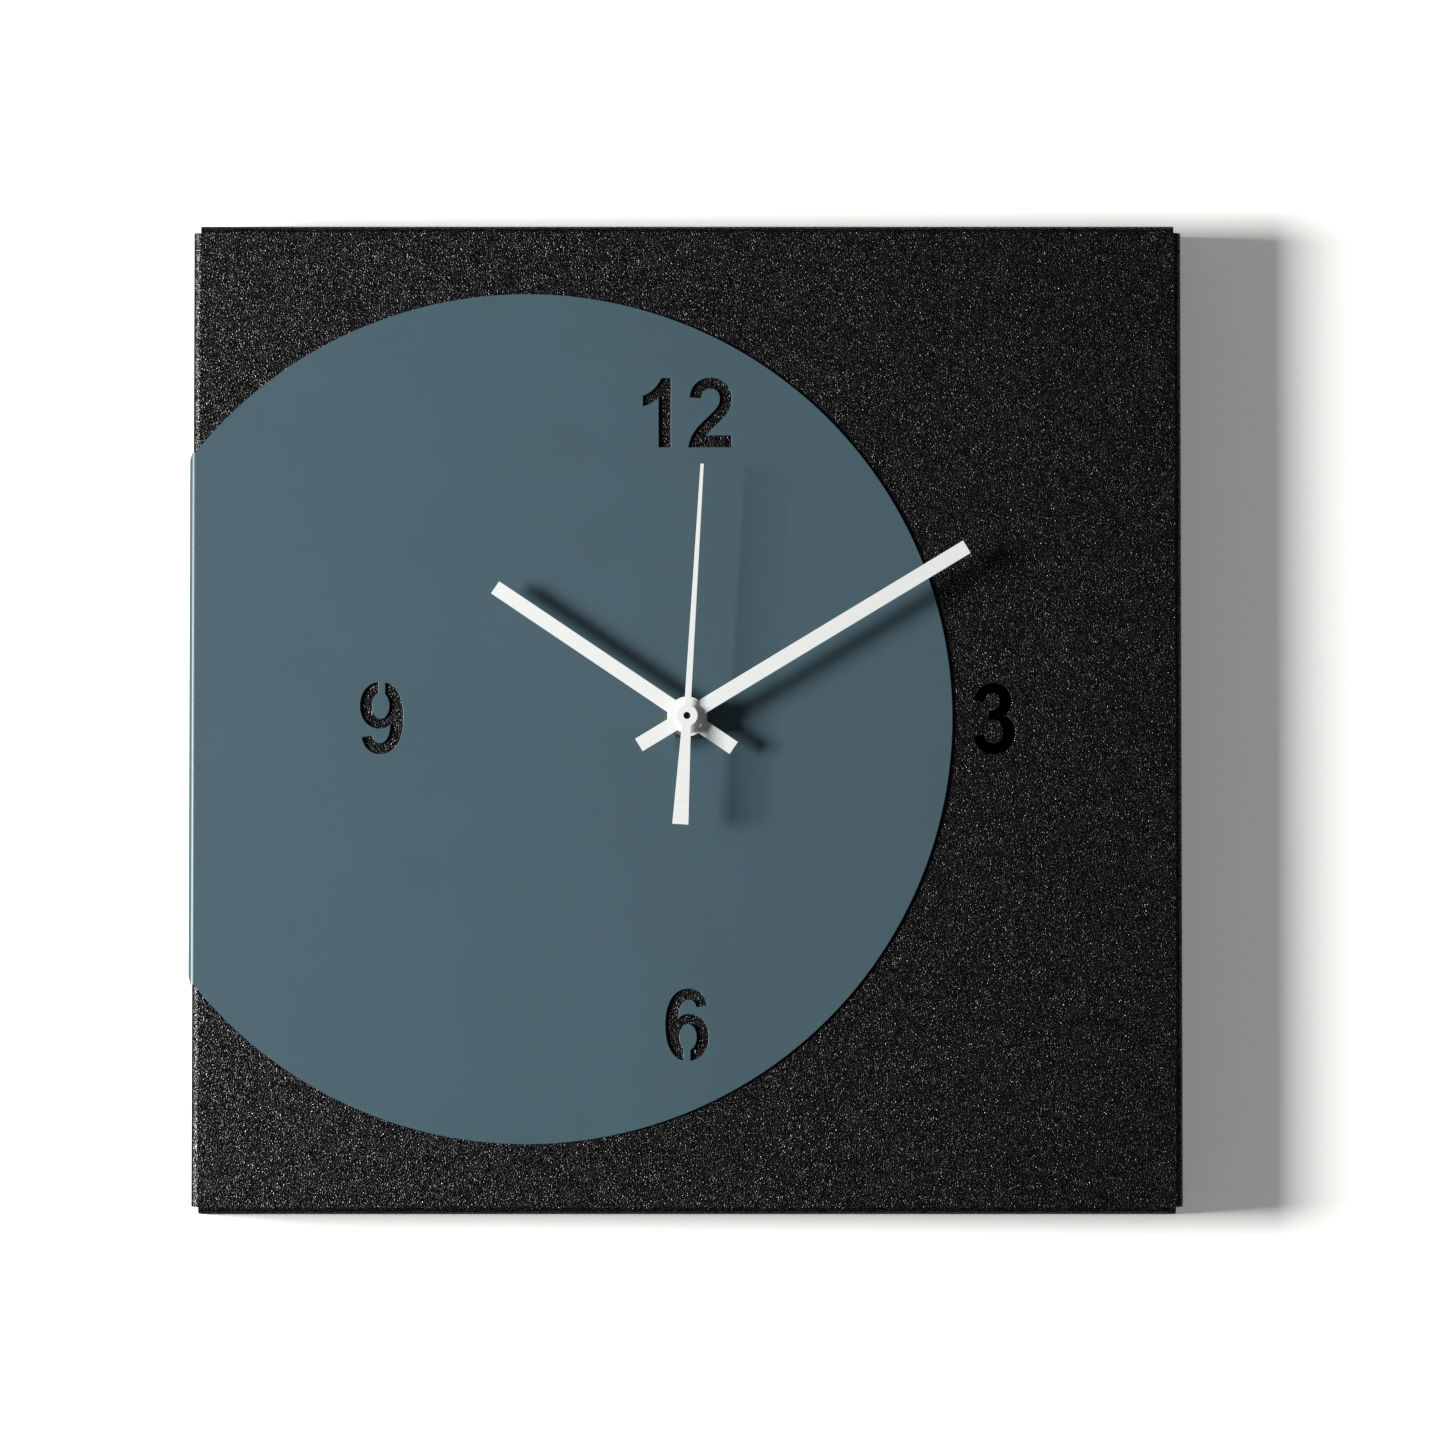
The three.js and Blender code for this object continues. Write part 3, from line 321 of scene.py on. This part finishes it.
def finished(node, edge):
    """The piece that shows for a CAD node: the same solid, with every sharp edge rounded by `edge`."""
    solid = joined_faces(node, WELDS.get(node, FINE_WELD))
    for face in solid.faces:
        face.smooth = True
    mesh = bpy.data.meshes.new(node + "_finished")
    solid.to_mesh(mesh)
    solid.free()
    piece = bpy.data.objects.new(node + "_finished", mesh)
    bpy.context.scene.collection.objects.link(piece)
    mesh.materials.append(MATERIALS[SLOTS[node]])
    rounding = piece.modifiers.new("rounded_edges", "BEVEL")
    rounding.width = edge
    rounding.segments = ROUNDING_STEPS
    rounding.limit_method = "ANGLE"
    rounding.angle_limit = SHARP_BEYOND
    rounding.use_clamp_overlap = node not in WELDS
    shading = piece.modifiers.new("flat_faces_stay_flat", "WEIGHTED_NORMAL")
    shading.mode = "FACE_AREA"
    shading.weight = 100
    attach(piece, body_of(node))
    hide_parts(node)
    return piece


ROUNDED_EDGES = {
    "case_shell": 0.16 * MM,
    "dial_plate": 0.18 * MM,
    "hour_hand": 0.06 * MM,
    "minute_hand": 0.06 * MM,
    "second_hand": 0.06 * MM,
    "hex_nut": 0.15 * MM,
    "threaded_bushing": 0.1 * MM,
    "second_hand_pipe": 0.05 * MM,
    "second_wheel": 0.03 * MM,
    "hanging_strap": 0.12 * MM,
    "front_housing": 0.2 * MM,
    "rear_cover": 0.2 * MM,
    "setting_knob": 0.12 * MM,
    "setting_shaft": 0.05 * MM,
    "centre_wheel": 0.03 * MM,
    "hour_wheel": 0.03 * MM,
    "battery_cell": 0.2 * MM,
    "battery_sleeve": 0.02 * MM,
    "positive_contact": 0.03 * MM,
    "negative_contact": 0.03 * MM,
}

pieces = {node: finished(node, edge) for node, edge in ROUNDED_EDGES.items()}


def paint_hole_shade(piece, in_front_of):
    """Gives the faces of a piece nearer the viewer than a plane a near-black material: painted shade for the
    deep hole in the second hand's boss.
    """
    piece.data.materials.append(HOLE_SHADE_BLACK)
    for face in piece.data.polygons:
        if face.center.y < in_front_of:
            face.material_index = 1


# Painted shade: the pipe and arbor ends in front of the case are made near-black, so the hole in the second
# hand's boss reads as deep and dark.
paint_hole_shade(pieces["second_hand_pipe"], CASE_LOW.y)
paint_hole_shade(pieces["second_wheel"], CASE_LOW.y)
pieces["threaded_bushing"].data.materials[0] = threaded_brass(pitch=0.75 * MM)

for node, cad_object in frame["nodes"].items():
    cad_object.data.materials.clear()
    cad_object.data.materials.append(MATERIALS[SLOTS[node]])


# ---------------------------------------------------------------- stage: wall, light and camera

FRAME_WIDTH = 510.3 * MM
CAMERA_DISTANCE = 3.4
CAMERA_DROP = 0.2
CASE_LEFT_OF_CENTRE = 12.5 * MM
CASE_ABOVE_CENTRE = 1.5 * MM
SENSOR = 36.0
FARTHEST_SEEN = 50

# The key light stands to the left: KEY_SLOPE is how far across it is for each metre out from the wall.
KEY_SLOPE = 1.34
KEY_DISTANCE = 2.35
KEY_RISE = -0.04
KEY_WIDTH = 0.82
KEY_HEIGHT = 0.62
KEY_POWER = 88.0
BACK_PLACE = Vector((-1.1, 1.7, 0.9))
BACK_SIZE = 1.0
BACK_POWER = 60.0

# How bright the surround is for matt surfaces, and then as glossy surfaces reflect it.
ROOM_LIGHT = 0.09
WALL_LIGHT = 0.55
ROOM_IN_GLOSS = 0.025
SHADED_WALL_IN_GLOSS = 0.28
LIT_WALL_IN_GLOSS = 0.25
WALL_ABOVE_IN_GLOSS = 0.6

WALL_REACH = 0.5
WALL_DEPTH = 0.4 * MM
WALL_COLOUR = (1.22, 1.2, 1.18)
WALL_GLOW = 0.17
GLOW_COLOUR = (1, 0.985, 0.95, 1)
HOLE_RIM = 2 * MM
SHADE_INSET = 6 * MM
SHADE_DEPTH = 0.2 * MM
# The near-black of the sheet of painted shade behind the clock.
PAINTED_SHADE_COLOUR = (0.004, 0.004, 0.004)
WHITE = (1, 1, 1, 1)


def look_at(thing, target):
    thing.rotation_euler = (target - thing.location).to_track_quat("-Z", "Y").to_euler()


def add_camera():
    data = bpy.data.cameras.new("camera")
    data.sensor_width = SENSOR
    data.lens = SENSOR * CAMERA_DISTANCE / FRAME_WIDTH
    data.clip_end = FARTHEST_SEEN
    camera = bpy.data.objects.new("camera", data)
    bpy.context.scene.collection.objects.link(camera)
    target = Vector((CASE_MIDDLE.x + CASE_LEFT_OF_CENTRE, CASE_FRONT, CASE_MIDDLE.z - CASE_ABOVE_CENTRE))
    camera.location = (target.x, CASE_FRONT - CAMERA_DISTANCE, HUB.z - CAMERA_DROP)
    look_at(camera, target)
    bpy.context.scene.camera = camera


def add_panel(name, place, target, width, height, power):
    """A soft light panel that faces `target`, and that shadow rays alone find."""
    data = bpy.data.lights.new(name, "AREA")
    data.shape = "RECTANGLE"
    data.size = width
    data.size_y = height
    data.energy = power
    data.cycles.use_multiple_importance_sampling = False
    panel = bpy.data.objects.new(name, data)
    panel.location = place
    look_at(panel, target)
    bpy.context.scene.collection.objects.link(panel)


def add_lights():
    across = math.atan(KEY_SLOPE)
    place = HUB + KEY_DISTANCE * Vector((-math.sin(across), -math.cos(across), 0))
    place.z += KEY_RISE
    add_panel("key", place, HUB, KEY_WIDTH, KEY_HEIGHT, KEY_POWER)
    add_panel("back", CASE_MIDDLE + BACK_PLACE, CASE_MIDDLE, BACK_SIZE, BACK_SIZE, BACK_POWER)


def add_world():
    """A pale surround: the dim room in front of the clock and, behind it, light thrown back by the wall.

    In gloss the wall has one level to the left of the clock, another to the right and a brighter one above.
    The camera sees plain white.
    """
    world = bpy.data.worlds.new("pale_room")
    world.use_nodes = True
    world.cycles.sampling_method = "NONE"
    bpy.context.scene.world = world
    nodes, links = world.node_tree.nodes, world.node_tree.links
    direction = nodes.new("ShaderNodeSeparateXYZ")
    links.new(nodes.new("ShaderNodeTexCoord").outputs["Generated"], direction.inputs[0])

    def span(value, *limits):
        node = nodes.new("ShaderNodeMapRange")
        links.new(value, node.inputs[0])
        for socket, limit in enumerate(limits, start=1):
            node.inputs[socket].default_value = limit
        return node

    beside = span(direction.outputs["X"], -0.2, 0.2, LIT_WALL_IN_GLOSS, SHADED_WALL_IN_GLOSS)
    wall = span(direction.outputs["Z"], 0.2, 0.6)
    links.new(beside.outputs[0], wall.inputs[3])
    wall.inputs[4].default_value = WALL_ABOVE_IN_GLOSS
    gloss = span(direction.outputs["Y"], -0.1, 0.1, ROOM_IN_GLOSS)
    links.new(wall.outputs[0], gloss.inputs[4])
    light = span(direction.outputs["Y"], -0.1, 0.1, ROOM_LIGHT, WALL_LIGHT)
    path = nodes.new("ShaderNodeLightPath")
    level = nodes.new("ShaderNodeMix")
    links.new(path.outputs["Is Glossy Ray"], level.inputs["Factor"])
    links.new(light.outputs[0], level.inputs["A"])
    links.new(gloss.outputs[0], level.inputs["B"])
    surround = nodes["Background"]
    surround.inputs["Color"].default_value = WHITE
    links.new(level.outputs[0], surround.inputs["Strength"])
    seen = nodes.new("ShaderNodeBackground")
    seen.inputs["Color"].default_value = WHITE
    mix = nodes.new("ShaderNodeMixShader")
    links.new(path.outputs["Is Camera Ray"], mix.inputs[0])
    links.new(surround.outputs[0], mix.inputs[1])
    links.new(seen.outputs[0], mix.inputs[2])
    links.new(mix.outputs[0], nodes["World Output"].inputs["Surface"])


def stage_material(name, colour, glow):
    """A matt surface seen from the front only, so that views from behind show the clock's back."""
    surface = Surface(name, colour, 1.0, specular=0.0)
    surface.shader.inputs["Emission Color"].default_value = GLOW_COLOUR
    surface.shader.inputs["Emission Strength"].default_value = glow
    surface.colour_by(surface.noise(60 * MM), 0.995, 1.005)
    clear = surface.add("ShaderNodeBsdfTransparent")
    side = surface.add("ShaderNodeNewGeometry").outputs["Backfacing"]
    mix = surface.add("ShaderNodeMixShader", {0: side})
    surface.tree.links.new(surface.shader.outputs[0], mix.inputs[1])
    surface.tree.links.new(clear.outputs[0], mix.inputs[2])
    surface.tree.links.new(mix.outputs[0], surface.tree.nodes["Material Output"].inputs["Surface"])
    return surface.material


def add_sheet(name, low, high, depth, material, hole=None):
    """A flat sheet parallel to the wall that only the camera sees, from in front."""
    sheet = bmesh.new()

    def add_ring(low, high):
        corners = [(low.x, low.z), (high.x, low.z), (high.x, high.z), (low.x, high.z)]
        return [sheet.verts.new((x, depth, z)) for x, z in corners]

    outer = add_ring(low, high)
    if hole:
        inner = add_ring(*hole)
        for here, there in ((0, 1), (1, 2), (2, 3), (3, 0)):
            sheet.faces.new([outer[here], outer[there], inner[there], inner[here]])
    else:
        sheet.faces.new(outer)
    mesh = bpy.data.meshes.new(name)
    sheet.to_mesh(mesh)
    sheet.free()
    mesh.materials.append(material)
    piece = bpy.data.objects.new(name, mesh)
    bpy.context.scene.collection.objects.link(piece)
    piece.visible_diffuse = False
    piece.visible_glossy = False
    piece.visible_transmission = False
    piece.visible_shadow = hole is not None


def add_wall():
    """The wall, and a near-black sheet of painted shade on it behind the clock, which shows through the
    cut-out figure 3.

    The wall keeps the back light off the outside of the clock; a hole in it lets that light into the case.
    """
    upright = Vector((1, 0, 1))
    reach = WALL_REACH * upright
    rim = HOLE_RIM * upright
    inset = SHADE_INSET * upright
    wall_paint = stage_material("wall_paint", WALL_COLOUR, WALL_GLOW)
    opening = (CASE_LOW + rim, CASE_HIGH - rim)
    add_sheet("wall", CASE_MIDDLE - reach, CASE_MIDDLE + reach, WALL_DEPTH, wall_paint, hole=opening)
    # A sheet of painted shade: unlit near-black where the wall lies in the clock's shade.
    shade = stage_material("painted_shade_behind_clock", PAINTED_SHADE_COLOUR, 0.0)
    add_sheet("shade", CASE_LOW + inset, CASE_HIGH - inset, SHADE_DEPTH, shade)


add_camera()
add_lights()
add_world()
add_wall()
bpy.context.scene.view_settings.view_transform = "Standard"
